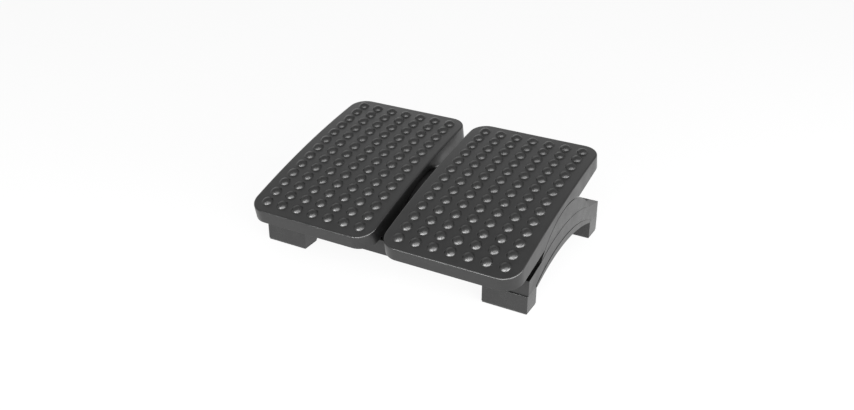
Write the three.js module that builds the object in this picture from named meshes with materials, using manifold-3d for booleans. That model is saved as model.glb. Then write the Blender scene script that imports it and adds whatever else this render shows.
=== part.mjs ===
// Tilting footrest: two domed treads that rock on round-topped arches between two rails.
// Millimetres, X across, Y away from the sitter, Z up, floor at zero.
import * as THREE from 'three';
import { mergeVertices } from 'three/addons/utils/BufferGeometryUtils.js';
import { ConvexGeometry } from 'three/addons/geometries/ConvexGeometry.js';
import Module from 'manifold-3d';

const wasm = await Module();
wasm.setup();

// Shares and counts
const halfShare = 1 / 2;
const thirdShare = 1 / 3;
const arcSteps = 10;
const roundSteps = 3;
const boltSteps = 6;
const domeSteps = 8;
const degree = Math.PI / 180;
const quarterTurn = 90 * degree;
const halfTurn = 180 * degree;

// Clearances
const seatGap = 0.3;
const slideGap = 1.6;
const notchGap = 1.2;
const overrun = 8;
const bond = 1;
const mergeTolerance = 0.01;

// Treads
const domesAcross = 7;
const domesAlong = 13;
const domePitchAcross = 30;
const domePitchAlong = 25.7;
const domeRadius = 9.5;
const domeHeight = 6.5;
const domeRoot = 1.6;
const domeSpread = 1.5;
const domeCrownRadius = 4.8;
const treadSideMargin = 26.5;
const treadEndMargin = 23.8;
const treadWidth = (domesAcross - 1) * domePitchAcross + treadSideMargin + treadSideMargin;
const treadLength = (domesAlong - 1) * domePitchAlong + treadEndMargin + treadEndMargin;
const treadCorner = 30;
const treadEdge = 2.5;
const treadWall = 3;
const treadSkin = 3.2;
const crownRadius = 1605;
const treadGap = 18;
const restTilt = 12 * degree;
const stopTilt = 15 * degree;

// Rocker: every sliding face is round this axis
const rockerAxisDrop = 9;
const rockerRadius = 129;
const treadRise = 14.4;
const treadDrop = 19;
const treadTop = rockerRadius + treadRise;
const treadBottom = rockerRadius - treadDrop;
const ribThickness = 2.4;
const ribInset = 3;
const ribBottom = treadBottom + ribInset;
const channelWidth = 17;
const crossRibPitch = 44;
const crossRibs = 7;
const longRibs = 2;
const runnerThickness = 3.2;
const runnerReach = 58;
const keeperRibFace = treadWidth * halfShare - channelWidth;

// Shoes that hold the treads down
const shoeDrop = 11;
const shoeInnerRadius = rockerRadius - shoeDrop;
const shoeThickness = 7.1;
const shoeLength = 12;
const shoeStart = 6 * degree;
const shoeEnd = 18 * degree;
const shoeMiddle = (shoeStart + shoeEnd) * halfShare;
const shoeBoltRadius = 2;
const shoeBoltHeadRadius = 3.6;
const shoeBoltHead = 2.4;
const shoeBoltBite = 8;

// Frame
const archOverhang = 1;
const frameHalfWidth = treadGap * halfShare + treadWidth + archOverhang;
const archDepth = channelWidth - slideGap + archOverhang;
const archInnerFace = frameHalfWidth - archDepth;
const archWeb = 4.4;
const archFlange = 3;
const middleStep = 1;
const lowerStep = 2.2;
const rampReach = 20;
const footStep = 2;
const frameHalfLength = rockerRadius + rampReach;
const footHalfLength = frameHalfLength + footStep;
const footWidth = 76.2;
const footDepth = 34.6;
const footTop = 32;
const footWall = 3;
const padThickness = 2.5;
const padInset = 0.6;
const railTop = 58.5;
const railDepth = 32;
const railWall = 3;
const railRibs = 6;
const rampRiseShare = 0.22;
const archClearHeight = 54;
const legInner = footHalfLength - footDepth;
const upperLineInset = 45;
const upperLineEnd = frameHalfLength - upperLineInset;
const upperLineFoot = 68.5;
const upperLineTop = 89;
const lowerLineInset = 30;
const lowerLineEnd = frameHalfLength - lowerLineInset;
const lowerLineFoot = 36;
const lowerLineTop = 65.7;
const trackRib = 3;
const trackDrop = 15.5;
const trackRibRadius = rockerRadius - trackDrop;
const stopRib = 2.4;
const centreWebHalf = 2.5;
const centreHalfWidth = treadGap * halfShare + channelWidth - slideGap;
const centreHalfLength = frameHalfLength - railDepth;
const archRibPitch = 40;
const archRibs = 5;

// Screws
const screwRadius = 2;
const screwHeadRadius = 3.8;
const screwHead = 2.2;
const screwBite = 14;
const bossRadius = 5;
const railScrewHeight = 46;

// Outlines are drawn sideways, Y to the right and Z up, and pushed out along X
const sideways = new THREE.Matrix4().makeBasis(
  new THREE.Vector3(0, 1, 0),
  new THREE.Vector3(0, 0, 1),
  new THREE.Vector3(1, 0, 0),
);

function solid(geometry) {
  const bare = new THREE.BufferGeometry();
  bare.setAttribute('position', geometry.getAttribute('position').clone());
  if (geometry.index) bare.setIndex(geometry.index.clone());
  const merged = mergeVertices(bare);
  return new wasm.Manifold(new wasm.Mesh({
    numProp: 3,
    vertProperties: Float32Array.from(merged.getAttribute('position').array),
    triVerts: Uint32Array.from(merged.index.array),
  }));
}

function geometryOf(body) {
  const mesh = body.simplify(mergeTolerance).getMesh();
  const geometry = new THREE.BufferGeometry();
  geometry.setAttribute('position', new THREE.BufferAttribute(Float32Array.from(mesh.vertProperties), 3));
  geometry.setIndex(new THREE.BufferAttribute(Uint32Array.from(mesh.triVerts), 1));
  return geometry;
}

function join(bodies) {
  return bodies.reduce((sum, body) => sum.add(body));
}

function block(x, y, z) {
  const geometry = new THREE.BoxGeometry(x[1] - x[0], y[1] - y[0], z[1] - z[0]);
  geometry.translate((x[0] + x[1]) * halfShare, (y[0] + y[1]) * halfShare, (z[0] + z[1]) * halfShare);
  return solid(geometry);
}

function slab(shape, x, steps) {
  const geometry = new THREE.ExtrudeGeometry(shape, {
    depth: x[1] - x[0], bevelEnabled: false, curveSegments: steps,
  });
  geometry.applyMatrix4(sideways);
  geometry.translate(x[0], 0, 0);
  return solid(geometry);
}

function rodAcross(radius, x, y, z) {
  const geometry = new THREE.CylinderGeometry(radius, radius, x[1] - x[0], boltSteps);
  geometry.rotateZ(quarterTurn);
  geometry.translate((x[0] + x[1]) * halfShare, y, z);
  return solid(geometry);
}

function rodAlong(radius, x, y, z) {
  const geometry = new THREE.CylinderGeometry(radius, radius, y[1] - y[0], boltSteps);
  geometry.translate(x, (y[0] + y[1]) * halfShare, z);
  return solid(geometry);
}

function rodUp(radius, x, y, z) {
  const geometry = new THREE.CylinderGeometry(radius, radius, z[1] - z[0], boltSteps);
  geometry.rotateX(quarterTurn);
  geometry.translate(x, y, (z[0] + z[1]) * halfShare);
  return solid(geometry);
}

// Tread, drawn level with the rocker axis at zero

function crownHeight(y, drop) {
  return treadTop - crownRadius + Math.sqrt(crownRadius * crownRadius - y * y) - drop;
}

function treadOutline(inset) {
  const shape = new THREE.Shape();
  const x = treadWidth * halfShare - treadCorner;
  const y = treadLength * halfShare - treadCorner;
  const radius = treadCorner - inset;
  shape.absarc(x, y, radius, 0, quarterTurn, false);
  shape.absarc(-x, y, radius, quarterTurn, halfTurn, false);
  shape.absarc(-x, -y, radius, halfTurn, halfTurn + quarterTurn, false);
  shape.absarc(x, -y, radius, halfTurn + quarterTurn, halfTurn + halfTurn, false);
  shape.closePath();
  return shape;
}

function rimPoints(inset) {
  const points = treadOutline(inset).getPoints(roundSteps);
  const side = treadWidth * halfShare - inset;
  for (let row = 1; row < domesAlong; row += 1) {
    const y = (row - domesAlong * halfShare) * domePitchAlong;
    points.push(new THREE.Vector2(side, y), new THREE.Vector2(-side, y));
  }
  return points;
}

function treadBlank() {
  const points = rimPoints(0).map((p) => new THREE.Vector3(p.x, p.y, treadBottom));
  for (let step = 0; step <= 2; step += 1) {
    const turn = quarterTurn * step * halfShare;
    const inset = treadEdge * (1 - Math.cos(turn));
    const drop = treadEdge * (1 - Math.sin(turn));
    rimPoints(inset).forEach((p) => points.push(new THREE.Vector3(p.x, p.y, crownHeight(p.y, drop))));
  }
  return solid(new ConvexGeometry(points));
}

function underCrown(drop, inset) {
  const plan = new THREE.ExtrudeGeometry(treadOutline(inset), {
    depth: treadTop, bevelEnabled: false, curveSegments: roundSteps,
  });
  plan.translate(0, 0, treadBottom - overrun);
  const reach = treadLength * halfShare;
  const turn = Math.asin(reach / crownRadius);
  const side = new THREE.Shape();
  side.moveTo(-reach, treadBottom - overrun);
  side.lineTo(reach, treadBottom - overrun);
  side.absarc(0, treadTop - crownRadius, crownRadius - drop, quarterTurn - turn, quarterTurn + turn, false);
  side.closePath();
  return solid(plan).intersect(slab(side, [-treadWidth, treadWidth], roundSteps));
}

// Its flats touch the radius, so that the arch's corners pass under them
function disc(radius) {
  const shape = new THREE.Shape();
  const from = quarterTurn * thirdShare;
  const reach = radius / Math.cos((quarterTurn - from) / arcSteps);
  shape.absarc(0, 0, reach, from, halfTurn - from, false);
  shape.lineTo(-treadBottom, -overrun);
  shape.lineTo(treadBottom, -overrun);
  shape.closePath();
  return shape;
}

function treadRibs() {
  const reach = treadLength * halfShare;
  const deep = [ribBottom, treadTop];
  const bodies = [-1, 1].map((side) => {
    const face = side * keeperRibFace;
    const back = face - side * ribThickness;
    return block([Math.min(face, back), Math.max(face, back)], [-reach, reach], deep);
  });
  const span = (keeperRibFace - ribThickness) / (longRibs + 1);
  for (let rib = 1; rib <= longRibs; rib += 1) {
    const x = (rib + rib - longRibs - 1) * span;
    bodies.push(block([x - ribThickness * halfShare, x + ribThickness * halfShare], [-reach, reach], deep));
  }
  for (let rib = 0; rib < crossRibs; rib += 1) {
    const y = (rib - (crossRibs - 1) * halfShare) * crossRibPitch;
    const across = [-treadWidth * halfShare, treadWidth * halfShare];
    bodies.push(block(across, [y - ribThickness * halfShare, y + ribThickness * halfShare], deep));
  }
  return join(bodies);
}

function runners() {
  const middle = keeperRibFace + (channelWidth - treadWall) * halfShare;
  return join([-1, 1].map((side) => {
    const x = side * middle;
    const rib = runnerThickness * halfShare;
    return block([x - rib, x + rib], [-runnerReach, runnerReach], [ribBottom, treadTop]);
  }));
}

function domes() {
  const profile = [
    new THREE.Vector2(0, -domeRoot),
    new THREE.Vector2(domeRadius + domeSpread, -domeRoot),
    new THREE.Vector2(domeCrownRadius, domeHeight),
    new THREE.Vector2(0, domeHeight),
  ];
  const dome = new THREE.LatheGeometry(profile, domeSteps);
  dome.rotateX(quarterTurn);
  const bodies = [];
  for (let row = 0; row < domesAlong; row += 1) {
    const y = (row - (domesAlong - 1) * halfShare) * domePitchAlong;
    for (let column = 0; column < domesAcross; column += 1) {
      const x = (column - (domesAcross - 1) * halfShare) * domePitchAcross;
      const one = dome.clone();
      one.rotateX(-Math.asin(y / crownRadius));
      one.translate(x, y, crownHeight(y, 0));
      bodies.push(solid(one));
    }
  }
  return join(bodies);
}

function shoePlace(side, end) {
  const turn = end * shoeMiddle;
  const radius = shoeInnerRadius + shoeThickness * halfShare;
  return { x: side, y: radius * Math.sin(turn), z: radius * Math.cos(turn) };
}

function ordered(a, b) {
  return [Math.min(a, b), Math.max(a, b)];
}

function treadBody() {
  const channel = [keeperRibFace, treadWidth * halfShare - treadWall];
  const wall = [treadWidth * halfShare - treadWall - bond, treadWidth * halfShare + overrun];
  let body = treadBlank().subtract(underCrown(treadSkin, treadWall));
  const inside = underCrown(treadSkin * halfShare, treadWall * halfShare);
  body = body.add(join([treadRibs(), runners()]).intersect(inside));
  body = body.add(domes());
  [-1, 1].forEach((side) => {
    const track = ordered(side * channel[0], side * channel[1]);
    const notch = ordered(side * wall[0], side * wall[1]);
    body = body.subtract(slab(disc(rockerRadius + seatGap), track, arcSteps));
    body = body.subtract(slab(disc(rockerRadius + notchGap), notch, arcSteps));
    [-1, 1].forEach((end) => {
      const at = shoePlace(side, end);
      const through = ordered(side * (keeperRibFace - overrun), side * (keeperRibFace + overrun));
      body = body.subtract(rodAcross(shoeBoltRadius + seatGap, through, at.y, at.z));
    });
  });
  return body;
}

function shoeBody(side, end) {
  const shape = new THREE.Shape();
  const from = quarterTurn - shoeStart;
  const to = quarterTurn - shoeEnd;
  shape.absarc(0, 0, shoeInnerRadius + shoeThickness, from, to, true);
  shape.absarc(0, 0, shoeInnerRadius, to, from, false);
  shape.closePath();
  const inner = side * (keeperRibFace + seatGap);
  const outer = inner + side * shoeLength;
  let body = slab(shape, ordered(inner, outer), roundSteps);
  if (end < 0) body = body.mirror([0, 1, 0]);
  const at = shoePlace(side, end);
  const hole = ordered(inner - side * overrun, inner + side * (shoeBoltBite + seatGap));
  return body.subtract(rodAcross(shoeBoltRadius + seatGap, hole, at.y, at.z));
}

function shoeBolt(side, end) {
  const at = shoePlace(side, end);
  const back = side * (keeperRibFace - ribThickness - seatGap);
  const tip = side * (keeperRibFace + seatGap + shoeBoltBite);
  const shank = rodAcross(shoeBoltRadius, ordered(back, tip), at.y, at.z);
  const head = rodAcross(shoeBoltHeadRadius, ordered(back, back - side * shoeBoltHead), at.y, at.z);
  return shank.add(head);
}

// Arches

function rampHeight(y, inset) {
  return railTop + rampRiseShare * (frameHalfLength - Math.abs(y)) - inset;
}

// Where the ramp line meets the round top
function rampEnd(inset) {
  const radius = rockerRadius - inset;
  const rise = rampHeight(0, inset) + rockerAxisDrop;
  const square = 1 + rampRiseShare * rampRiseShare;
  const inside = rise * rise * rampRiseShare * rampRiseShare - square * (rise * rise - radius * radius);
  return (rise * rampRiseShare + Math.sqrt(inside)) / square;
}

function arcOver(shape, end, foot, top, forward) {
  const rise = top - foot;
  const radius = (end * end + rise * rise) * halfShare / rise;
  const centre = top - radius;
  const turn = Math.atan2(foot - centre, end);
  if (forward) shape.absarc(0, centre, radius, halfTurn - turn, turn, true);
  else shape.absarc(0, centre, radius, turn, halfTurn - turn, false);
}

function archOutline(halfLength, inset) {
  const shape = new THREE.Shape();
  const y = halfLength - inset;
  const base = footTop + inset;
  const meet = rampEnd(inset);
  const turn = Math.atan2(rampHeight(meet, inset) + rockerAxisDrop, meet);
  shape.moveTo(-y, base);
  shape.lineTo(-y, rampHeight(y, inset));
  shape.absarc(0, -rockerAxisDrop, rockerRadius - inset, halfTurn - turn, turn, true);
  shape.lineTo(y, rampHeight(y, inset));
  shape.lineTo(y, base);
  arcOver(shape, legInner - inset, base, archClearHeight + inset, false);
  shape.closePath();
  return shape;
}

function ring(inner, outer, from, to) {
  const shape = new THREE.Shape();
  shape.absarc(0, -rockerAxisDrop, outer, quarterTurn - from, quarterTurn - to, true);
  shape.absarc(0, -rockerAxisDrop, inner, quarterTurn - to, quarterTurn - from, false);
  shape.closePath();
  return shape;
}

// What stays standing inside an arch: the track's floor, its two stops and upright ribs
function archStiffeners(x, halfLength) {
  const stop = stopTilt + shoeEnd + seatGap / shoeInnerRadius;
  const stopSpread = stopRib / shoeInnerRadius;
  const end = stop + stopSpread;
  const track = slab(ring(trackRibRadius, trackRibRadius + trackRib, -end, end), x, arcSteps);
  const stops = [-end, stop].map((from) => {
    return slab(ring(trackRibRadius, rockerRadius, from, from + stopSpread), x, 1);
  });
  const keepOut = slab(ring(trackRibRadius + trackRib * halfShare, rockerRadius, -stop, stop), x, arcSteps);
  const ribs = [];
  const rim = ribThickness * halfShare;
  for (let rib = 0; rib < archRibs; rib += 1) {
    const y = (rib - (archRibs - 1) * halfShare) * archRibPitch;
    ribs.push(block(x, [y - rim, y + rim], [footTop, rockerRadius]));
  }
  const bosses = [-1, 1].map((side) => {
    const along = side * (frameHalfLength - railDepth * halfShare);
    return rodAcross(bossRadius, x, along, railScrewHeight);
  });
  const upright = join(ribs).subtract(keepOut);
  const parts = [upright, track, ...stops];
  return join(halfLength < frameHalfLength ? parts : [...parts, ...bosses]);
}

function archPocket(x, halfLength) {
  const through = archStiffeners([x[0] - overrun, x[1] + overrun], halfLength);
  return slab(archOutline(halfLength, archFlange), x, arcSteps).subtract(through);
}

function upperStepOutline() {
  const shape = new THREE.Shape();
  const outside = frameHalfLength + overrun;
  shape.moveTo(-outside, 0);
  shape.lineTo(-outside, rockerRadius);
  shape.lineTo(-upperLineEnd, rockerRadius);
  arcOver(shape, upperLineEnd, upperLineFoot, upperLineTop, true);
  shape.lineTo(upperLineEnd, rockerRadius);
  shape.lineTo(outside, rockerRadius);
  shape.lineTo(outside, 0);
  shape.closePath();
  return shape;
}

function lowerStepOutline() {
  const shape = new THREE.Shape();
  shape.moveTo(-lowerLineEnd, 0);
  arcOver(shape, lowerLineEnd, lowerLineFoot, lowerLineTop, true);
  shape.lineTo(lowerLineEnd, 0);
  shape.closePath();
  return shape;
}

function sideArchBody() {
  const outside = frameHalfWidth + overrun;
  let body = slab(archOutline(frameHalfLength, 0), [archInnerFace, frameHalfWidth], arcSteps);
  body = body.subtract(archPocket([archInnerFace - overrun, frameHalfWidth - archWeb], frameHalfLength));
  body = body.subtract(slab(upperStepOutline(), [frameHalfWidth - middleStep, outside], arcSteps));
  body = body.subtract(slab(lowerStepOutline(), [frameHalfWidth - lowerStep, outside], arcSteps));
  [-1, 1].forEach((end) => {
    const along = end * (frameHalfLength - railDepth * halfShare);
    const hole = [archInnerFace - overrun, archInnerFace + screwBite * halfShare + seatGap];
    body = body.subtract(rodAcross(screwRadius + seatGap, hole, along, railScrewHeight));
  });
  return body.intersect(block([archInnerFace, outside], [-outside, outside], [0, outside]));
}

function centreArchBody() {
  const wide = centreHalfWidth;
  let body = slab(archOutline(centreHalfLength, 0), [-wide, wide], arcSteps);
  [-1, 1].forEach((side) => {
    const x = ordered(side * centreWebHalf, side * (wide + overrun));
    const pocket = archPocket(x, centreHalfLength);
    body = body.subtract(pocket);
  });
  body = body.intersect(block([-wide, wide], [-frameHalfLength, frameHalfLength], [0, rockerRadius]));
  return body.subtract(everyCorner(centreScrew, seatGap));
}

// Screws: grown by a clearance they are also the cutters for their own holes

function everyCorner(make, grow) {
  return join([-1, 1].flatMap((side) => [-1, 1].map((end) => make(side, end, grow))));
}

function centreScrew(side, end, grow) {
  const x = side * centreHalfWidth * halfShare;
  const seat = centreHalfLength + railWall + seatGap;
  const tip = centreHalfLength - archFlange - screwBite * halfShare;
  const top = ordered(end * seat, end * (seat + screwHead));
  const shank = rodAlong(screwRadius + grow, x, ordered(end * tip, end * seat), railScrewHeight);
  return shank.add(rodAlong(screwHeadRadius + grow, x, top, railScrewHeight));
}

function sideScrew(side, end, grow) {
  const along = end * (frameHalfLength - railDepth * halfShare);
  const seat = archInnerFace - railWall - seatGap;
  const shank = ordered(side * seat, side * (archInnerFace + screwBite * halfShare));
  const head = ordered(side * seat, side * (seat - screwHead));
  const neck = rodAcross(screwRadius + grow, shank, along, railScrewHeight);
  return neck.add(rodAcross(screwHeadRadius + grow, head, along, railScrewHeight));
}

function footScrewSpot(side, end) {
  const outer = frameHalfWidth - middleStep - archDepth;
  const along = frameHalfLength - railDepth * halfShare;
  return [side * (outer - (footWidth - archDepth) * halfShare), end * along];
}

function footScrew(side, end, grow) {
  const [x, y] = footScrewSpot(side, end);
  const seat = footTop - footWall - seatGap;
  const shank = rodUp(screwRadius + grow, x, y, [seat, footTop + screwBite]);
  return shank.add(rodUp(screwHeadRadius + grow, x, y, [seat - screwHead, seat]));
}

function railBody(end) {
  const outer = end * frameHalfLength;
  const inner = end * centreHalfLength;
  const middle = (outer + inner) * halfShare;
  const tall = [footTop, railTop];
  const inside = ordered(outer - end * railWall, inner + end * railWall);
  let body = block([-archInnerFace, archInnerFace], ordered(outer, inner), tall);
  const hollow = [-archInnerFace + railWall, archInnerFace - railWall];
  body = body.subtract(block(hollow, inside, [footTop - overrun, railTop - railWall]));
  const room = [footTop, railTop - railWall * halfShare];
  const pitch = archInnerFace / (railRibs + 1);
  const rim = ribThickness * halfShare;
  const ribs = [];
  for (let rib = 1; rib <= railRibs; rib += 1) {
    const x = (rib + rib - railRibs - 1) * pitch;
    ribs.push(block([x - rim, x + rim], ordered(outer - end * bond, inner + end * bond), room));
  }
  [-1, 1].forEach((side) => ribs.push(rodUp(bossRadius, footScrewSpot(side, end)[0], middle, room)));
  const cutters = [footScrew, sideScrew, centreScrew].map((make) => everyCorner(make, seatGap));
  return join([body, ...ribs]).subtract(join(cutters));
}

function footBody(side, end) {
  const outer = side * (frameHalfWidth - middleStep);
  const inner = outer - side * footWidth;
  const front = end * footHalfLength;
  const back = front - end * footDepth;
  let body = block(ordered(outer, inner), ordered(front, back), [padThickness, footTop]);
  const x = ordered(outer - side * footWall, inner + side * footWall);
  const y = ordered(front - end * footWall, back + end * footWall);
  body = body.subtract(block(x, y, [padThickness - overrun, footTop - footWall]));
  const middle = (front + back) * halfShare;
  const across = (outer + inner) * halfShare;
  const rib = footWall * halfShare;
  body = body.add(block([across - rib, across + rib], y, [padThickness, footTop - rib]));
  body = body.add(block(x, [middle - rib, middle + rib], [padThickness + footWall, footTop - rib]));
  const [sx, sy] = footScrewSpot(side, end);
  const well = rodUp(screwHeadRadius + footWall, sx, sy, [padThickness, footTop - rib]);
  const bore = rodUp(screwHeadRadius + seatGap, sx, sy, [padThickness - overrun, footTop - footWall]);
  return body.add(well).subtract(bore).subtract(footScrew(side, end, seatGap));
}

function padBody(side, end) {
  const outer = side * (frameHalfWidth - middleStep - padInset);
  const inner = outer - side * (footWidth - padInset - padInset);
  const front = end * (footHalfLength - padInset);
  const back = front - end * (footDepth - padInset - padInset);
  return block(ordered(outer, inner), ordered(front, back), [0, padThickness]);
}

// Assembly

const footrest = new THREE.Group();
footrest.name = 'tilting_footrest';

function place(name, body, colour, roughness) {
  const material = new THREE.MeshStandardMaterial({ color: colour, roughness, metalness: 0 });
  material.name = name;
  const mesh = new THREE.Mesh(geometryOf(body), material);
  mesh.name = name;
  footrest.add(mesh);
  return mesh;
}

function placeTilted(name, body, x, colour, roughness) {
  const mesh = place(name, body, colour, roughness);
  mesh.geometry.translate(x, 0, 0);
  mesh.geometry.rotateX(restTilt);
  mesh.geometry.translate(0, 0, -rockerAxisDrop);
}

const tread = treadBody();
const sideArch = sideArchBody();
const ends = [['front', -1], ['rear', 1]];
const sides = [['left', -1], ['right', 1]];

sides.forEach(([sideName, side]) => {
  const x = side * (treadGap + treadWidth) * halfShare;
  placeTilted(`${sideName}_tread`, tread, x, '#4a4a4a', 0.6);
  ends.forEach(([endName, end]) => [['outer', side], ['inner', -side]].forEach(([edgeName, edge]) => {
    placeTilted(`${sideName}_${edgeName}_${endName}_shoe`, shoeBody(edge, end), x, '#d8d4c8', 0.5);
    placeTilted(`${sideName}_${edgeName}_${endName}_bolt`, shoeBolt(edge, end), x, '#8c8f92', 0.4);
  }));
  const arch = side < 0 ? sideArch.mirror([1, 0, 0]) : sideArch;
  place(`${sideName}_arch`, arch, '#525252', 0.6);
});
place('centre_arch', centreArchBody(), '#505050', 0.6);
ends.forEach(([endName, end]) => {
  place(`${endName}_rail`, railBody(end), '#4e4e4e', 0.6);
  sides.forEach(([sideName, side]) => {
    place(`${endName}_${sideName}_foot`, footBody(side, end), '#585858', 0.6);
    place(`${endName}_${sideName}_pad`, padBody(side, end), '#1e1e1e', 0.9);
    place(`${endName}_${sideName}_foot_screw`, footScrew(side, end, 0), '#8c8f92', 0.4);
    place(`${endName}_${sideName}_arch_screw`, sideScrew(side, end, 0), '#8c8f92', 0.4);
    place(`${endName}_${sideName}_centre_screw`, centreScrew(side, end, 0), '#8c8f92', 0.4);
  });
});

// Origin: the middle of the footrest's box, on the floor
const box = new THREE.Box3().setFromObject(footrest);
const shift = (box.min.y + box.max.y) * halfShare;
footrest.traverse((node) => {
  if (node.isMesh) node.geometry.translate(0, -shift, 0);
});

export default footrest;
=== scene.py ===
import bmesh
import bpy
import math
from mathutils import Matrix, Vector


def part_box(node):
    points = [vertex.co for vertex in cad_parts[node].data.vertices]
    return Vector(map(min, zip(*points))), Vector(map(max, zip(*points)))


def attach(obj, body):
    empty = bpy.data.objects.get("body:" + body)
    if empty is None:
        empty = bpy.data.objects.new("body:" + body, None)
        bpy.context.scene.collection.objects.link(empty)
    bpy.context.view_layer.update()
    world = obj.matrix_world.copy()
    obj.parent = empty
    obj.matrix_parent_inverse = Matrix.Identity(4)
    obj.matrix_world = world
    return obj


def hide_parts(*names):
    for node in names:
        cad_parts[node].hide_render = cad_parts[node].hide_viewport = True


# A tilting under-desk footrest: two domed treads that rock on round-topped arches.
# Metres. X across, Y away from the sitter, Z up, floor at zero.

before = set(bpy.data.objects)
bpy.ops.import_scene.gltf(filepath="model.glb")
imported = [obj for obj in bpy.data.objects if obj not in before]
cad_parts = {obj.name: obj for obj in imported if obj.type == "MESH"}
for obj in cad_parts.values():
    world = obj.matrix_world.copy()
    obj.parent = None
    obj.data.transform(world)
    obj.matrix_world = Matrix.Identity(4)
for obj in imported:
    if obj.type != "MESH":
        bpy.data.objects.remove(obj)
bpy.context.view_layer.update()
bpy.ops.object.select_all(action="DESELECT")

MM = 0.001
SIDES = (("left", -1), ("right", 1))
ENDS = (("front", -1), ("rear", 1))
QUARTER = math.pi / 2

# Sizes in millimetres: the CAD part's, but for dome fillet, notch gap, steps, lip and gutter
DOMES_ACROSS, DOMES_ALONG = 7, 13
PITCH_ACROSS, PITCH_ALONG = 30.0, 25.7
DOME_RADIUS, DOME_HEIGHT, DOME_FILLET = 9.5, 6.5, 2.2
TREAD_WIDTH, TREAD_LENGTH, TREAD_CORNER = 233.0, 356.0, 30.0
TREAD_TOP, TREAD_BOTTOM, TREAD_SKIN, TREAD_WALL = 143.4, 110.0, 3.2, 3.0
TREAD_EDGE, BORDER = 2.5, 3.0
CROWN_RADIUS = 1605.0
TREAD_GAP = 18.0
REST_TILT = math.radians(12)
STOP_TILT = math.radians(15)
RIB, RIB_BOTTOM, RUNNER = 2.4, 113.0, 3.2
CHANNEL = 17.0
CROSS_RIBS, CROSS_PITCH, LONG_RIBS, RUNNER_REACH = 7, 44.0, 2, 58.0
KEEPER = TREAD_WIDTH / 2 - CHANNEL
NOTCH_GAP, SEAT_GAP = 2.0, 0.3

AXIS_DROP = 9.0
ROCKER_RADIUS = 129.0
FRAME_HALF_WIDTH, FRAME_HALF_LENGTH = 243.0, 149.0
ARCH_INNER, ARCH_WEB, FLANGE = 226.6, 4.4, 3.0
MIDDLE_STEP, UPPER_STEP = 0.7, 1.2
LIP, GUTTER = 1.6, 2.4
FOOT_TOP, RAIL_TOP, RAIL_DEPTH = 32.0, 58.5, 32.0
RAMP_RISE = 0.22
CLEAR_HEIGHT, LEG_INNER = 54.0, 116.4
UPPER_LINE = (104.0, 68.5, 89.0)
LOWER_LINE = (119.0, 36.0, 65.7)
TRACK_RADIUS, TRACK_RIB, STOP_RIB = 113.5, 3.0, 2.4
SHOE_RADIUS, SHOE_END = 118.0, math.radians(18)
CENTRE_WEB, CENTRE_HALF_WIDTH, CENTRE_HALF_LENGTH = 2.5, 24.4, 117.0
ARCH_RIBS, ARCH_RIB_PITCH = 5, 40.0
BOSS_RADIUS, BOSS_HEIGHT = 5.0, 46.0

# How far tools reach past what they cut, into the walls, and past each other, in millimetres
PAST, NOTCH_LAP, TOOL_LAP = 8.0, 0.5, 1.0

# Rounding of moulded edges, in millimetres, and the angles that tell an edge from a flat
TREAD_ROUND, SIDE_ARCH_ROUND, CENTRE_ARCH_ROUND = 0.8, 0.25, 0.5
RAIL_ROUND, FOOT_ROUND, PAD_ROUND = 0.5, 1.1, 0.5
SMOOTH_ANGLE, FLAT_ANGLE = math.radians(32), math.radians(1)

# How finely round forms are drawn
DOME_SIDES, FILLET_STEPS, CAP_STEPS = 32, 3, 7
CORNER_STEPS, TREAD_EDGE_STEPS = 14, 4
CUTS_ACROSS, CUTS_ALONG, CAVITY_CUTS = 45, 93, 14
TOP_STEPS, BOW_STEPS, RING_STEPS, STOP_STEPS = 48, 40, 32, 2
BORE_SIDES, BOSS_SIDES = 256, 32

# What picks out parts of a mesh: distances in millimetres, a count of corners, and a ratio
TOUCH, WELD, LEVEL, LONG_SIDE = 0.01, 0.05, 1, 50
OUTLINE_POINTS = 100
CLEAR_OF_DOME = 1.1

# Middle of the frame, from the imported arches
arch_low, arch_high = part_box("right_arch")
FRAME_MIDDLE = (arch_low[1] + arch_high[1]) / 2


# Modelling by hand: small steps shared by every piece

def deselect():
    if bpy.context.object and bpy.context.object.mode != "OBJECT":
        bpy.ops.object.mode_set(mode="OBJECT")
    bpy.ops.object.select_all(action="DESELECT")


def pick(obj):
    deselect()
    bpy.context.view_layer.objects.active = obj
    obj.select_set(True)


def edit(obj):
    pick(obj)
    bpy.ops.object.mode_set(mode="EDIT")


def done():
    bpy.ops.object.mode_set(mode="OBJECT")
    return bpy.context.object


def choose(kind, test):
    """Selects the vertices, edges or faces of the mesh in edit mode that pass a test."""
    bpy.ops.mesh.select_mode(type=kind)
    bpy.ops.mesh.select_all(action="DESELECT")
    mesh = bpy.context.object.data
    shape = bmesh.from_edit_mesh(mesh)
    members = {"VERT": shape.verts, "EDGE": shape.edges, "FACE": shape.faces}[kind]
    for one in members:
        if test(one):
            one.select_set(True)
    shape.select_flush_mode()
    bmesh.update_edit_mesh(mesh)


def take(obj, kind, **settings):
    """Adds a modifier to a piece and applies it."""
    pick(obj)
    step = obj.modifiers.new(kind.lower(), kind)
    for name, value in settings.items():
        setattr(step, name, value)
    bpy.ops.object.modifier_apply(modifier=step.name)


def cut(obj, tool):
    """Takes the tool's shape out of the piece, and does away with the tool."""
    take(obj, "BOOLEAN", operation="DIFFERENCE", object=tool, solver="EXACT")
    bpy.data.objects.remove(tool)


def block(name, x, y, z):
    """A block between two places on each axis, in millimetres."""
    deselect()
    spans = [sorted(span) for span in (x, y, z)]
    middle = [(low + high) / 2 * MM for low, high in spans]
    bpy.ops.mesh.primitive_cube_add(size=1, location=middle)
    obj = bpy.context.object
    obj.name = obj.data.name = name
    obj.scale = [(high - low) * MM for low, high in spans]
    bpy.ops.object.transform_apply(location=True, rotation=True, scale=True)
    return obj


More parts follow.
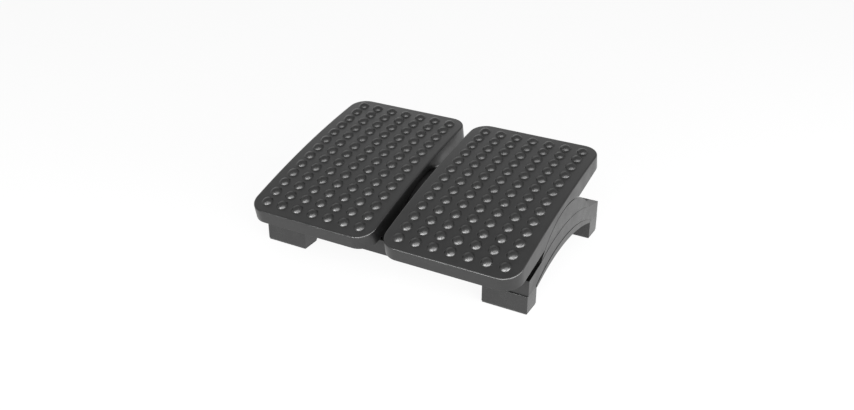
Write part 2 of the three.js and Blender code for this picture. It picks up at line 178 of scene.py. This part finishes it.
def rod(name, radius, start, end, steps):
    """A round bar between two points, in millimetres."""
    deselect()
    start, end = Vector(start) * MM, Vector(end) * MM
    along = end - start
    bpy.ops.mesh.primitive_cylinder_add(
        vertices=steps, radius=radius * MM, depth=along.length, location=(start + end) / 2
    )
    obj = bpy.context.object
    obj.name = obj.data.name = name
    obj.rotation_mode = "QUATERNION"
    obj.rotation_quaternion = along.to_track_quat("Z", "Y")
    bpy.ops.object.transform_apply(location=True, rotation=True, scale=True)
    return obj


def face_outward():
    bpy.ops.mesh.select_all(action="SELECT")
    bpy.ops.mesh.normals_make_consistent(inside=False)


def plate(name, outline, x):
    """An outline in Y and Z, drawn point by point and pushed out along X, in millimetres."""
    deselect()
    places = [Vector((x[0], y, z)) * MM for y, z in outline]
    bpy.ops.mesh.primitive_plane_add(size=MM)
    obj = bpy.context.object
    obj.name = obj.data.name = name
    edit(obj)
    bpy.ops.mesh.select_mode(type="VERT")
    bpy.ops.mesh.select_all(action="SELECT")
    bpy.ops.mesh.merge(type="CENTER")
    bpy.ops.transform.translate(value=places[0])
    for here, there in zip(places, places[1:]):
        bpy.ops.mesh.extrude_vertices_move(TRANSFORM_OT_translate={"value": there - here})
    bpy.ops.mesh.select_all(action="SELECT")
    bpy.ops.mesh.edge_face_add()
    push = ((x[1] - x[0]) * MM, 0, 0)
    bpy.ops.mesh.extrude_region_move(TRANSFORM_OT_translate={"value": push})
    face_outward()
    return done()


def soften(obj, width, steps=2, angle=30.0):
    """Rounds the sharp edges as a mould does."""
    take(
        obj, "BEVEL", width=width * MM, segments=steps, limit_method="ANGLE",
        angle_limit=math.radians(angle), harden_normals=False, miter_outer="MITER_ARC",
    )


def smooth(obj):
    """Shades round faces round, and keeps flat ones flat beside them."""
    pick(obj)
    bpy.ops.object.shade_smooth_by_angle(angle=SMOOTH_ANGLE)
    take(obj, "WEIGHTED_NORMAL", mode="FACE_AREA", weight=50, keep_sharp=True)


def settle(obj, offset=(0, 0, 0), turn=0.0):
    """Puts a drawn piece in its place and leaves its object at the origin."""
    pick(obj)
    obj.matrix_world = Matrix.Translation(offset) @ Matrix.Rotation(turn, 4, "X")
    bpy.ops.object.transform_apply(location=True, rotation=True, scale=True)


def copy_of(obj, name):
    twin = obj.copy()
    twin.data = obj.data.copy()
    twin.name = twin.data.name = name
    bpy.context.collection.objects.link(twin)
    return twin


def stand_in(obj, body, node, material):
    """The piece takes the place of its CAD node and rides with that node's body."""
    smooth(obj)
    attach(obj, body)
    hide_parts(node)
    obj.data.materials.append(material)


def arc(centre, radius, start, end, steps):
    """Points in Y and Z on a circle whose centre is that high on the middle line."""
    turns = [start + (end - start) * step / steps for step in range(steps + 1)]
    return [(radius * math.cos(turn), centre + radius * math.sin(turn)) for turn in turns]


# Tread, drawn level round the rocker's axis

def sag(y):
    """How far the crowned top falls below its middle at a place along the tread."""
    return CROWN_RADIUS - math.sqrt(CROWN_RADIUS ** 2 - y ** 2)


def inset_of(x, y):
    """How far a place lies inside the tread's outline."""
    across = abs(x) - (TREAD_WIDTH / 2 - TREAD_CORNER)
    along = abs(y) - (TREAD_LENGTH / 2 - TREAD_CORNER)
    if across > 0 and along > 0:
        return TREAD_CORNER - math.hypot(across, along)
    return TREAD_CORNER - max(across, along)


def dome_rings():
    """Radius and height of each ring of a dome: a fillet at its foot, then a ball's cap."""
    ball = (DOME_RADIUS ** 2 + DOME_HEIGHT ** 2) / (2 * DOME_HEIGHT)
    low = DOME_HEIGHT - ball
    foot = math.sqrt((ball + DOME_FILLET) ** 2 - (DOME_FILLET - low) ** 2)
    lean = math.atan2(foot, DOME_FILLET - low)
    rings = []
    for step in range(FILLET_STEPS + 1):
        turn = lean * step / FILLET_STEPS
        rings.append((foot - DOME_FILLET * math.sin(turn), DOME_FILLET * (1 - math.cos(turn))))
    for step in range(1, CAP_STEPS):
        turn = lean * (1 - step / CAP_STEPS)
        rings.append((ball * math.sin(turn), low + ball * math.cos(turn)))
    return rings


def domed_sheet():
    """The field of domes: one dome in a flat cell, drawn by hand and then repeated."""
    deselect()
    rings = dome_rings()
    foot = rings[0][0] * MM
    bpy.ops.mesh.primitive_circle_add(vertices=DOME_SIDES, radius=foot, location=(0, 0, 0))
    obj = bpy.context.object
    obj.name = obj.data.name = "tread"
    edit(obj)
    bpy.ops.mesh.select_all(action="SELECT")
    for (wide, low), (narrow, high) in zip(rings, rings[1:]):
        bpy.ops.mesh.extrude_edges_move(TRANSFORM_OT_translate={"value": (0, 0, (high - low) * MM)})
        share = narrow / wide
        bpy.ops.transform.resize(value=(share, share, 1), center_override=(0, 0, 0))
    last = (DOME_HEIGHT - rings[-1][1]) * MM
    bpy.ops.mesh.extrude_edges_move(TRANSFORM_OT_translate={"value": (0, 0, last)})
    bpy.ops.mesh.merge(type="CENTER")
    bpy.ops.mesh.primitive_plane_add(size=1, location=(0, 0, 0))
    across, along = PITCH_ACROSS * MM, PITCH_ALONG * MM
    bpy.ops.transform.resize(value=(across, along, 1), center_override=(0, 0, 0))
    bpy.ops.mesh.delete(type="ONLY_FACE")
    reach = foot * CLEAR_OF_DOME
    choose("EDGE", lambda e: all(v.co.xy.length > reach for v in e.verts))
    bpy.ops.mesh.subdivide(number_cuts=DOME_SIDES // 4 - 1)
    choose("EDGE", lambda e: all(abs(v.co.z) < MM * TOUCH for v in e.verts))
    bpy.ops.mesh.bridge_edge_loops()
    face_outward()
    done()
    settle(obj, (-across * (DOMES_ACROSS - 1) / 2, -along * (DOMES_ALONG - 1) / 2, 0))
    for count, offset in ((DOMES_ACROSS, (across, 0, 0)), (DOMES_ALONG, (0, along, 0))):
        take(
            obj, "ARRAY", count=count, use_relative_offset=False, use_constant_offset=True,
            constant_offset_displace=offset, use_merge_vertices=True, merge_threshold=WELD * MM,
        )
    return obj


def add_round_face():
    """In edit mode: adds a flat face as wide and long as the tread, with finely divided sides."""
    bpy.ops.mesh.select_mode(type="VERT")
    bpy.ops.mesh.select_all(action="DESELECT")
    bpy.ops.mesh.primitive_plane_add(size=1, location=(0, 0, 0))
    size = (TREAD_WIDTH * MM, TREAD_LENGTH * MM, 1)
    bpy.ops.transform.resize(value=size, center_override=(0, 0, 0))
    bpy.ops.mesh.bevel(offset=TREAD_CORNER * MM, segments=CORNER_STEPS, affect="VERTICES")
    bpy.ops.mesh.delete(type="ONLY_FACE")
    for way, cuts in ((0, CUTS_ACROSS), (1, CUTS_ALONG)):
        choose("EDGE", lambda e: (
            e.is_wire and abs(e.verts[0].co[way] - e.verts[1].co[way]) > LONG_SIDE * MM
        ))
        bpy.ops.mesh.subdivide(number_cuts=cuts)
    choose("EDGE", lambda e: e.is_wire)
    bpy.ops.mesh.edge_face_add()


def crown(obj, low):
    """Lets the top fall away in a long curve towards both ends."""
    deepest = sag(TREAD_LENGTH / 2)
    group = obj.vertex_groups.new(name="crown")
    for point in obj.data.vertices:
        if point.co.z > low * MM:
            group.add([point.index], sag(point.co.y / MM) / deepest, "REPLACE")
    take(obj, "DISPLACE", direction="Z", mid_level=0, strength=-deepest * MM, vertex_group="crown")
    obj.vertex_groups.clear()


def tread_blank():
    """The tread's outside: the field of domes, a border, the walls, and a flat bottom."""
    obj = domed_sheet()
    edit(obj)
    add_round_face()
    choose("FACE", lambda f: len(f.verts) > OUTLINE_POINTS)
    bpy.ops.mesh.inset(thickness=BORDER * MM)
    bpy.ops.mesh.delete(type="ONLY_FACE")
    choose("EDGE", lambda e: e.is_boundary and all(
        inset_of(v.co.x / MM, v.co.y / MM) > BORDER / 2 for v in e.verts
    ) or e.is_wire)
    bpy.ops.mesh.bridge_edge_loops()
    face_outward()
    bpy.ops.transform.translate(value=(0, 0, TREAD_TOP * MM))
    choose("EDGE", lambda e: e.is_boundary)
    down = (TREAD_BOTTOM - TREAD_TOP) * MM
    bpy.ops.mesh.extrude_edges_move(TRANSFORM_OT_translate={"value": (0, 0, down)})
    bpy.ops.mesh.edge_face_add()
    rim = (TREAD_TOP - LEVEL) * MM
    choose("EDGE", lambda e: all(
        abs(inset_of(v.co.x / MM, v.co.y / MM)) < TOUCH and v.co.z > rim for v in e.verts
    ))
    bpy.ops.mesh.bevel(offset=TREAD_EDGE * MM, segments=TREAD_EDGE_STEPS, affect="EDGES")
    face_outward()
    done()
    crown(obj, TREAD_BOTTOM + LEVEL)
    return obj


def tread_cavity():
    """The space under the skin, less the ribs that stand in it."""
    deselect()
    bpy.ops.mesh.primitive_plane_add(size=1)
    obj = bpy.context.object
    obj.name = obj.data.name = "cavity"
    edit(obj)
    bpy.ops.mesh.select_all(action="SELECT")
    size = ((TREAD_WIDTH - 2 * TREAD_WALL) * MM, (TREAD_LENGTH - 2 * TREAD_WALL) * MM, 1)
    bpy.ops.transform.resize(value=size, center_override=(0, 0, 0))
    corner = (TREAD_CORNER - TREAD_WALL) * MM
    bpy.ops.mesh.bevel(offset=corner, segments=CORNER_STEPS, affect="VERTICES")
    bpy.ops.transform.translate(value=(0, 0, (TREAD_BOTTOM - PAST) * MM))
    choose("FACE", lambda f: True)
    up = (TREAD_TOP - TREAD_SKIN - TREAD_BOTTOM + PAST) * MM
    bpy.ops.mesh.extrude_region_move(TRANSFORM_OT_translate={"value": (0, 0, up)})
    face_outward()
    for step in range(1, CAVITY_CUTS):
        y = (step / CAVITY_CUTS - 0.5) * TREAD_LENGTH * MM
        bpy.ops.mesh.select_all(action="SELECT")
        bpy.ops.mesh.bisect(plane_co=(0, y, 0), plane_no=(0, 1, 0))
    done()
    crown(obj, TREAD_BOTTOM + LEVEL)
    deep, high = RIB_BOTTOM, TREAD_TOP + PAST
    reach = TREAD_LENGTH / 2 + PAST
    for side in (-1, 1):
        keeper = (side * KEEPER, side * (KEEPER - RIB))
        cut(obj, block("rib", keeper, (-reach, reach), (deep, high)))
        middle = side * (KEEPER + (CHANNEL - TREAD_WALL) / 2)
        runner = (middle - RUNNER / 2, middle + RUNNER / 2)
        cut(obj, block("rib", runner, (-RUNNER_REACH, RUNNER_REACH), (deep, high)))
    span = (KEEPER - RIB) / (LONG_RIBS + 1)
    for rib in range(1, LONG_RIBS + 1):
        x = (2 * rib - LONG_RIBS - 1) * span
        cut(obj, block("rib", (x - RIB / 2, x + RIB / 2), (-reach, reach), (deep, high)))
    for rib in range(CROSS_RIBS):
        y = (rib - (CROSS_RIBS - 1) / 2) * CROSS_PITCH
        cut(obj, block("rib", (-reach, reach), (y - RIB / 2, y + RIB / 2), (deep, high)))
    return obj


def make_treads():
    tread = tread_blank()
    for side in (-1, 1):
        start = side * (TREAD_WIDTH / 2 - TREAD_WALL) - side * NOTCH_LAP
        end = side * (TREAD_WIDTH / 2 + PAST)
        radius = ROCKER_RADIUS + NOTCH_GAP
        cut(tread, rod("notch", radius, (start, 0, 0), (end, 0, 0), BORE_SIDES))
    soften(tread, TREAD_ROUND, steps=3, angle=40.0)
    cut(tread, tread_cavity())
    for side in (-1, 1):
        start, end = side * KEEPER, side * (TREAD_WIDTH / 2 - TREAD_WALL)
        radius = ROCKER_RADIUS + SEAT_GAP
        cut(tread, rod("track", radius, (start, 0, 0), (end, 0, 0), BORE_SIDES))
    for name, side in SIDES:
        piece = copy_of(tread, f"{name}_tread_board")
        x = side * (TREAD_GAP + TREAD_WIDTH) / 2 * MM
        settle(piece, (x, FRAME_MIDDLE, -AXIS_DROP * MM), REST_TILT)
        stand_in(piece, f"{name}_platform", f"{name}_tread", TREAD_PLASTIC)
    bpy.data.objects.remove(tread)


# Arches, drawn round the frame's middle

def ramp_height(y, inset):
    """Height of the ramp that leads from a rail up to the round top."""
    return RAIL_TOP + RAMP_RISE * (FRAME_HALF_LENGTH - abs(y)) - inset


def ramp_end(inset):
    """Where the ramp's line meets the round top."""
    radius = ROCKER_RADIUS - inset
    rise = ramp_height(0, inset) + AXIS_DROP
    square = 1 + RAMP_RISE ** 2
    inside = (rise * RAMP_RISE) ** 2 - square * (rise ** 2 - radius ** 2)
    return (rise * RAMP_RISE + math.sqrt(inside)) / square


def bow(end, foot, top):
    """Points along a low arch from its rear foot, over its top, to its front foot."""
    rise = top - foot
    radius = (end ** 2 + rise ** 2) / 2 / rise
    turn = math.atan2(foot - top + radius, end)
    return arc(top - radius, radius, turn, math.pi - turn, BOW_STEPS)


def arch_outline(half_length, inset):
    """An arch from the side, or its hollow where that lies inset from the outside."""
    y, base = half_length - inset, FOOT_TOP + inset
    meet = ramp_end(inset)
    turn = math.atan2(ramp_height(meet, inset) + AXIS_DROP, meet)
    top = arc(-AXIS_DROP, ROCKER_RADIUS - inset, math.pi - turn, turn, TOP_STEPS)
    under = bow(LEG_INNER - inset, base, CLEAR_HEIGHT + inset)
    ends = [(-y, base), (-y, ramp_height(y, inset))]
    return ends + top + [(y, ramp_height(y, inset)), (y, base)] + under


def ring(inner, outer, start, end, steps):
    """A band round the rocker's axis between two angles from upright."""
    out = arc(-AXIS_DROP, outer, QUARTER - start, QUARTER - end, steps)
    back = arc(-AXIS_DROP, inner, QUARTER - end, QUARTER - start, steps)
    return out + back


def arch_pocket(x, half_length):
    """The hollow of an arch, with its track, stops, ribs and bosses left standing."""
    low, high = sorted(x)
    wide = (low - PAST, high + PAST)
    obj = plate("pocket", arch_outline(half_length, FLANGE), (low, high))
    stop = STOP_TILT + SHOE_END + SEAT_GAP / SHOE_RADIUS
    thick = STOP_RIB / SHOE_RADIUS
    end = stop + thick
    room = ring(TRACK_RADIUS + TRACK_RIB / 2, ROCKER_RADIUS, -stop, stop, RING_STEPS)
    for rib in range(ARCH_RIBS):
        y = (rib - (ARCH_RIBS - 1) / 2) * ARCH_RIB_PITCH
        tool = block("rib", wide, (y - RIB / 2, y + RIB / 2), (0, ROCKER_RADIUS))
        cut(tool, plate("room", room, (wide[0] - TOOL_LAP, wide[1] + TOOL_LAP)))
        cut(obj, tool)
    track = ring(TRACK_RADIUS, TRACK_RADIUS + TRACK_RIB, -end, end, RING_STEPS)
    cut(obj, plate("track", track, wide))
    for start in (-end, stop):
        band = ring(TRACK_RADIUS, ROCKER_RADIUS, start, start + thick, STOP_STEPS)
        cut(obj, plate("stop", band, wide))
    if half_length == FRAME_HALF_LENGTH:
        for _, way in ENDS:
            y = way * (FRAME_HALF_LENGTH - RAIL_DEPTH / 2)
            near, far = [(x, y, BOSS_HEIGHT) for x in wide]
            cut(obj, rod("boss", BOSS_RADIUS, near, far, BOSS_SIDES))
    return obj


def make_side_arches():
    """Both side arches, with their lower band outermost and the crescent over it set back."""
    outside = FRAME_HALF_WIDTH + PAST
    body = plate("arch", arch_outline(FRAME_HALF_LENGTH, 0), (ARCH_INNER, FRAME_HALF_WIDTH))
    past = FRAME_HALF_LENGTH + PAST
    end, foot, top = LOWER_LINE
    middle = [(past, 0), (past, ROCKER_RADIUS), (-past, ROCKER_RADIUS), (-past, 0), (-end, 0)]
    middle += bow(end, foot, top)[::-1] + [(end, 0)]
    cut(body, plate("middle", middle, (FRAME_HALF_WIDTH - MIDDLE_STEP, outside)))
    end, foot, top = UPPER_LINE
    upper = [(end, ROCKER_RADIUS), (-end, ROCKER_RADIUS)] + bow(end, foot, top)[::-1]
    cut(body, plate("upper", upper, (FRAME_HALF_WIDTH - UPPER_STEP, outside)))
    soften(body, SIDE_ARCH_ROUND)
    near, far = -ramp_end(0) - LIP, LIP - FRAME_HALF_LENGTH
    hollow = [(far, ramp_height(far, GUTTER)), (far, ROCKER_RADIUS), (near, ROCKER_RADIUS)]
    hollow.append((near, ramp_height(near, GUTTER)))
    cut(body, plate("gutter", hollow, (ARCH_INNER + LIP, FRAME_HALF_WIDTH - LIP)))
    cut(body, arch_pocket((ARCH_INNER - PAST, FRAME_HALF_WIDTH - ARCH_WEB), FRAME_HALF_LENGTH))
    for name, side in SIDES:
        piece = copy_of(body, f"{name}_arch_side")
        if side < 0:
            edit(piece)
            bpy.ops.mesh.select_all(action="SELECT")
            sideways = (True, False, False)
            bpy.ops.transform.mirror(constraint_axis=sideways, center_override=(0, 0, 0))
            bpy.ops.mesh.normals_make_consistent(inside=False)
            done()
        settle(piece, (0, FRAME_MIDDLE, 0))
        stand_in(piece, "base", f"{name}_arch", FRAME_PLASTIC)
    bpy.data.objects.remove(body)


def make_centre_arch():
    wide = CENTRE_HALF_WIDTH
    body = plate("centre_arch_spine", arch_outline(CENTRE_HALF_LENGTH, 0), (-wide, wide))
    soften(body, CENTRE_ARCH_ROUND)
    for side in (-1, 1):
        cut(body, arch_pocket((side * CENTRE_WEB, side * (wide + PAST)), CENTRE_HALF_LENGTH))
    settle(body, (0, FRAME_MIDDLE, 0))
    stand_in(body, "base", "centre_arch", FRAME_PLASTIC)


# Rails, feet and pads: their CAD solids, merged, with the edges rounded

def rounded_copy(node, name, width, steps=2):
    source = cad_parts[node]
    piece = source.copy()
    piece.data = source.data.copy()
    piece.name = piece.data.name = name
    piece.parent = None
    piece.data.materials.clear()
    bpy.context.collection.objects.link(piece)
    edit(piece)
    bpy.ops.mesh.select_all(action="SELECT")
    bpy.ops.mesh.remove_doubles(threshold=TOUCH * MM)
    bpy.ops.mesh.dissolve_limited(angle_limit=FLAT_ANGLE)
    done()
    soften(piece, width, steps)
    return piece


def make_frame_blocks():
    for end, _ in ENDS:
        rail = rounded_copy(f"{end}_rail", f"{end}_rail_beam", RAIL_ROUND)
        stand_in(rail, "base", f"{end}_rail", FRAME_PLASTIC)
        for side, _ in SIDES:
            corner = f"{end}_{side}"
            foot = rounded_copy(f"{corner}_foot", f"{corner}_foot_block", FOOT_ROUND, 3)
            stand_in(foot, "base", f"{corner}_foot", FOOT_PLASTIC)
            pad = rounded_copy(f"{corner}_pad", f"{corner}_pad_sole", PAD_ROUND)
            stand_in(pad, "base", f"{corner}_pad", PAD_RUBBER)


# Materials

PLASTIC_IOR = 1.56
CLOUD_SCALE, CLOUD_SHARE = 38.0, 0.15
# Painted highlight along rounded edges: how wide it reaches, in millimetres, and how far it turns
# them pale
EDGE_HIGHLIGHT_WIDTH, EDGE_HIGHLIGHT_SHARE = 1.2, 0.7
BUMP_STRENGTH = 0.5


def linear(code):
    """An sRGB hex colour as linear red, green, blue and alpha."""
    parts = [int(code[place:place + 2], 16) / 255 for place in (1, 3, 5)]
    return [c / 12.92 if c <= 0.04045 else ((c + 0.055) / 1.055) ** 2.4 for c in parts] + [1]


def add(tree, kind, inputs=None, links=None, **settings):
    """Adds a node, sets it, and links sockets of earlier nodes into it."""
    node = tree.nodes.new(kind)
    for name, value in settings.items():
        setattr(node, name, value)
    for name, value in (inputs or {}).items():
        node.inputs[name].default_value = value
    for name, socket in (links or {}).items():
        tree.links.new(socket, node.inputs[name])
    return node


def combine(tree, how, one, other):
    """The greater or the sum of two sockets."""
    return add(tree, "ShaderNodeMath", links={0: one, 1: other}, operation=how).outputs[0]


def spread(tree, socket, low, high, start, end, **settings):
    """A socket's values from low to high, spread from start to end."""
    ends = {"From Min": low, "From Max": high, "To Min": start, "To Max": end}
    return add(tree, "ShaderNodeMapRange", ends, {"Value": socket}, **settings).outputs["Result"]


def empty_tree(owner):
    owner.use_nodes = True
    owner.node_tree.nodes.clear()
    return owner.node_tree


def finish_with(name, colour, pale, rough, grain_mm, grain_depth, metal=0.0):
    """Moulded plastic or plating: a fine grain, slight cloudiness, and a painted highlight that
    pales the rounded edges.
    """
    material = bpy.data.materials.new(name)
    tree = empty_tree(material)
    place = add(tree, "ShaderNodeTexCoord").outputs["Object"]
    grain = add(
        tree, "ShaderNodeTexNoise", {"Scale": 1000 / grain_mm, "Detail": 2.0}, {"Vector": place}
    )
    cloud = add(
        tree, "ShaderNodeTexNoise", {"Scale": CLOUD_SCALE, "Detail": 3.0}, {"Vector": place}
    ).outputs["Fac"]
    tone = add(tree, "ShaderNodeMix", data_type="RGBA")
    tone.inputs["A"].default_value = linear(colour)
    tone.inputs["B"].default_value = linear(pale)
    patchy = spread(tree, cloud, 0.35, 0.65, 0.0, CLOUD_SHARE)
    # Painted highlight: where the bevel's normal turns away from the face's own, the edge is mixed
    # towards the pale colour
    round_edge = add(tree, "ShaderNodeBevel", {"Radius": EDGE_HIGHLIGHT_WIDTH * MM}, samples=4)
    flat = add(tree, "ShaderNodeNewGeometry")
    normals = {0: round_edge.outputs["Normal"], 1: flat.outputs["Normal"]}
    facing = add(tree, "ShaderNodeVectorMath", links=normals, operation="DOT_PRODUCT")
    painted_edge_highlight = spread(tree, facing.outputs["Value"], 0.995, 0.8, 0.0, EDGE_HIGHLIGHT_SHARE)
    tree.links.new(combine(tree, "MAXIMUM", patchy, painted_edge_highlight), tone.inputs["Factor"])
    gloss = spread(tree, cloud, 0.3, 0.7, rough - 0.05, rough + 0.06)
    bump = add(
        tree, "ShaderNodeBump", {"Strength": BUMP_STRENGTH, "Distance": grain_depth * MM},
        {"Height": grain.outputs["Fac"]},
    )
    shader = add(
        tree, "ShaderNodeBsdfPrincipled", {"IOR": PLASTIC_IOR, "Metallic": metal},
        {
            "Base Color": tone.outputs["Result"], "Roughness": gloss,
            "Normal": bump.outputs["Normal"],
        },
    )
    add(tree, "ShaderNodeOutputMaterial", links={"Surface": shader.outputs["BSDF"]})
    return material


# Black polypropylene, satin: its greys are what it mirrors, and each dome has a highlight
TREAD_PLASTIC = finish_with("moulded_polypropylene_treads", "#111111", "#181818", 0.33, 0.9, 0.006)
# Black ABS with a coarser grain: quieter than the treads, with its band lines left to show
FRAME_PLASTIC = finish_with("moulded_abs_frame", "#101010", "#181818", 0.3, 0.9, 0.03)
# Dark grey ABS, glossier: the feet stand out a little from the rails
FOOT_PLASTIC = finish_with("moulded_abs_feet", "#181818", "#202020", 0.24, 0.9, 0.03)
# Dull black rubber: a soft line under each foot, with no highlight
PAD_RUBBER = finish_with("moulded_rubber_pads", "#1c1c1c", "#2a2a2a", 0.8, 0.6, 0.08)
# Natural nylon: off-white and waxy against the black tracks
SHOE_NYLON = finish_with("moulded_nylon_shoes", "#d6d0c0", "#e4dfd2", 0.4, 0.9, 0.03)
# Zinc plating on steel: a pale, slightly cloudy metal sheen
SCREW_STEEL = finish_with("zinc_plated_screws", "#8c8f92", "#a2a5a8", 0.35, 0.5, 0.03, 1.0)

make_treads()
make_side_arches()
make_centre_arch()
make_frame_blocks()
for name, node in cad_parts.items():
    if name.endswith(("shoe", "bolt", "screw")):
        node.data.materials.clear()
        node.data.materials.append(SHOE_NYLON if name.endswith("shoe") else SCREW_STEEL)


# Studio: pale floor, soft lamps, and a camera where the photograph's stood

WHITE = (1, 1, 1, 1)
FLOOR_SIZE, FLOOR_DROP, FLOOR_GLOW = 12, 0.1, 0.88
WINDOW_WAY = (-0.728, 0.635, 0.259)
LAMP_AIM = (0, 0, 0.1)
CAMERA_PLACE = (0.6783, -1.2268, 0.8018)
CAMERA_AZIMUTH, CAMERA_HEIGHT = math.radians(28.93), math.radians(27.59)
CAMERA_LENS, CAMERA_SENSOR = 39.395, 36


def choose_by_ray(tree, share, first, second, output):
    """Ends a tree with a mix of two shaders."""
    mix = add(tree, "ShaderNodeMixShader", links={"Fac": share})
    tree.links.new(first.outputs[0], mix.inputs[1])
    tree.links.new(second.outputs[0], mix.inputs[2])
    add(tree, output, links={"Surface": mix.outputs[0]})


def seen_directly(tree):
    """One for rays from the camera and for mirrored ones, so that gloss shows the white studio."""
    path = add(tree, "ShaderNodeLightPath").outputs
    both = combine(tree, "MAXIMUM", path["Is Camera Ray"], path["Is Glossy Ray"])
    return combine(tree, "MAXIMUM", both, path["Is Transmission Ray"])


def studio_floor():
    deselect()
    bpy.ops.mesh.primitive_plane_add(size=FLOOR_SIZE, location=(0, 0, -FLOOR_DROP * MM))
    floor = bpy.context.object
    floor.name = "floor"
    bpy.ops.object.transform_apply(location=True, rotation=True, scale=True)
    material = bpy.data.materials.new("pale_studio_floor")
    tree = empty_tree(material)
    paint = add(tree, "ShaderNodeBsdfDiffuse", {"Color": linear("#e6e6e6")})
    glow = add(tree, "ShaderNodeEmission", {"Color": WHITE, "Strength": 1.0})
    seen = add(
        tree, "ShaderNodeMath", {1: FLOOR_GLOW}, {0: seen_directly(tree)}, operation="MULTIPLY"
    )
    choose_by_ray(tree, seen.outputs[0], paint, glow, "ShaderNodeOutputMaterial")
    floor.data.materials.append(material)


def studio_world():
    """White to the camera; to the object, grey walls, a pale horizon and a window behind it."""
    world = bpy.data.worlds.new("studio")
    bpy.context.scene.world = world
    tree = empty_tree(world)
    path = add(tree, "ShaderNodeLightPath")
    way = add(tree, "ShaderNodeTexCoord").outputs["Generated"]
    height = add(tree, "ShaderNodeSeparateXYZ", links={0: way}).outputs["Z"]
    wall = spread(tree, height, 0.0, 0.5, 0.42, 0.52, interpolation_type="SMOOTHSTEP")
    facing = add(
        tree, "ShaderNodeVectorMath", {1: WINDOW_WAY}, {0: way}, operation="DOT_PRODUCT"
    )
    window = spread(tree, facing.outputs["Value"], 0.74, 1.0, 0.0, 0.6)
    horizon = spread(tree, height, 0.14, 0.04, 0.0, 0.5)
    total = combine(tree, "ADD", wall, combine(tree, "ADD", window, horizon))
    light = add(tree, "ShaderNodeBackground", {"Color": WHITE}, {"Strength": total})
    white = add(tree, "ShaderNodeBackground", {"Color": WHITE, "Strength": 1.0})
    choose_by_ray(tree, path.outputs["Is Camera Ray"], light, white, "ShaderNodeOutputWorld")


def softbox(name, place, size, power):
    """A rectangular lamp that faces the object: place and size in metres, power in watts."""
    lamp = bpy.data.lights.new(name, "AREA")
    lamp.shape = "RECTANGLE"
    lamp.size, lamp.size_y = size
    lamp.energy = power
    box = bpy.data.objects.new(name, lamp)
    bpy.context.collection.objects.link(box)
    box.location = place
    box.rotation_mode = "QUATERNION"
    box.rotation_quaternion = (Vector(LAMP_AIM) - Vector(place)).to_track_quat("-Z", "Y")


def photo_camera():
    """Direction, distance and lens were solved from the grid of domes."""
    azimuth, height = CAMERA_AZIMUTH, CAMERA_HEIGHT
    lens = bpy.data.cameras.new("photo_camera")
    lens.sensor_width = CAMERA_SENSOR
    lens.lens = CAMERA_LENS
    camera = bpy.data.objects.new("photo_camera", lens)
    bpy.context.collection.objects.link(camera)
    level = math.cos(height)
    back = Vector((math.sin(azimuth) * level, -math.cos(azimuth) * level, math.sin(height)))
    right = Vector((math.cos(azimuth), math.sin(azimuth), 0))
    turn = Matrix((right, back.cross(right), back)).transposed()
    camera.matrix_world = Matrix.Translation(CAMERA_PLACE) @ turn.to_4x4()
    bpy.context.scene.camera = camera


studio_floor()
studio_world()
softbox("left_softbox", (0.11, -2.14, 0.5), (2.4, 0.45), 84)
softbox("right_softbox", (2.03, -0.68, 0.5), (2.7, 0.45), 95)
softbox("front_softbox", (1.24, -1.58, 1.4), (2.6, 1.1), 38)
photo_camera()
bpy.context.scene.view_settings.view_transform = "Standard"
